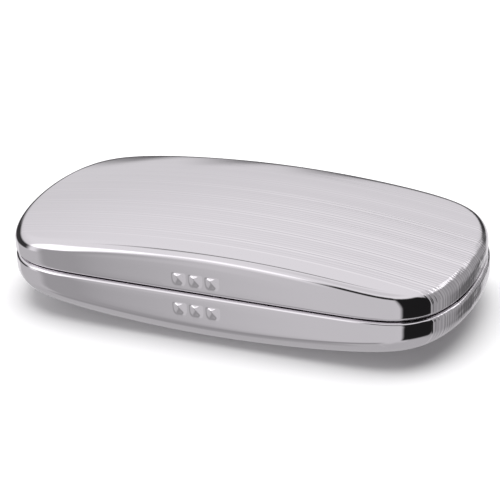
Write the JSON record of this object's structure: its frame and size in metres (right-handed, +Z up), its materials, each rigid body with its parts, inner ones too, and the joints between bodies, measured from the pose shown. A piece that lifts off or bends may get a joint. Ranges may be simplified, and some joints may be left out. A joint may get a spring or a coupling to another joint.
{
  "type": "eyeglasses case",
  "caption": "Hard aluminium eyeglasses case, two curved half shells on a sprung rear hinge, with finger grips in front and a padded velour lining.",
  "frame": {"origin": "middle of the flat that the case stands on, under the base shell", "axes": "+X the long way of the case, to the right seen from the front; -Y the front with the finger grips, +Y the hinge side; +Z up"},
  "size_m": [0.16, 0.0804, 0.034],
  "materials": {
    "shell_aluminium": "mirror polished with fine pressed lines",
    "hinge_steel": "satin",
    "spring_steel": "drawn wire",
    "lining_velour": "flocked velour",
    "pad_velour": "velour over foam"
  },
  "bodies": {
    "base": {"base_shell": "shell_aluminium", "base_hinge_leaf": "hinge_steel", "hinge_pin": "hinge_steel", "left_spring": "spring_steel", "right_spring": "spring_steel", "base_rivet_left": "hinge_steel", "base_rivet_middle": "hinge_steel", "base_rivet_right": "hinge_steel", "base_lining": "lining_velour", "base_pad": "pad_velour"},
    "lid": {"lid_shell": "shell_aluminium", "lid_hinge_leaf": "hinge_steel", "lid_rivet_left": "hinge_steel", "lid_rivet_middle": "hinge_steel", "lid_rivet_right": "hinge_steel", "lid_lining": "lining_velour", "lid_pad": "pad_velour"}
  },
  "joints": [
    {"name": "lid_hinge", "type": "hinge", "parent": "base", "child": "lid", "pos_m": [0, 0.0385, 0.0181], "axis": [-1, 0, 0], "range_deg": [0, 105], "stiffness_Nm_per_rad": 0.02, "springref_deg": -45.84, "deforming": ["left_spring", "right_spring"]}
  ]
}
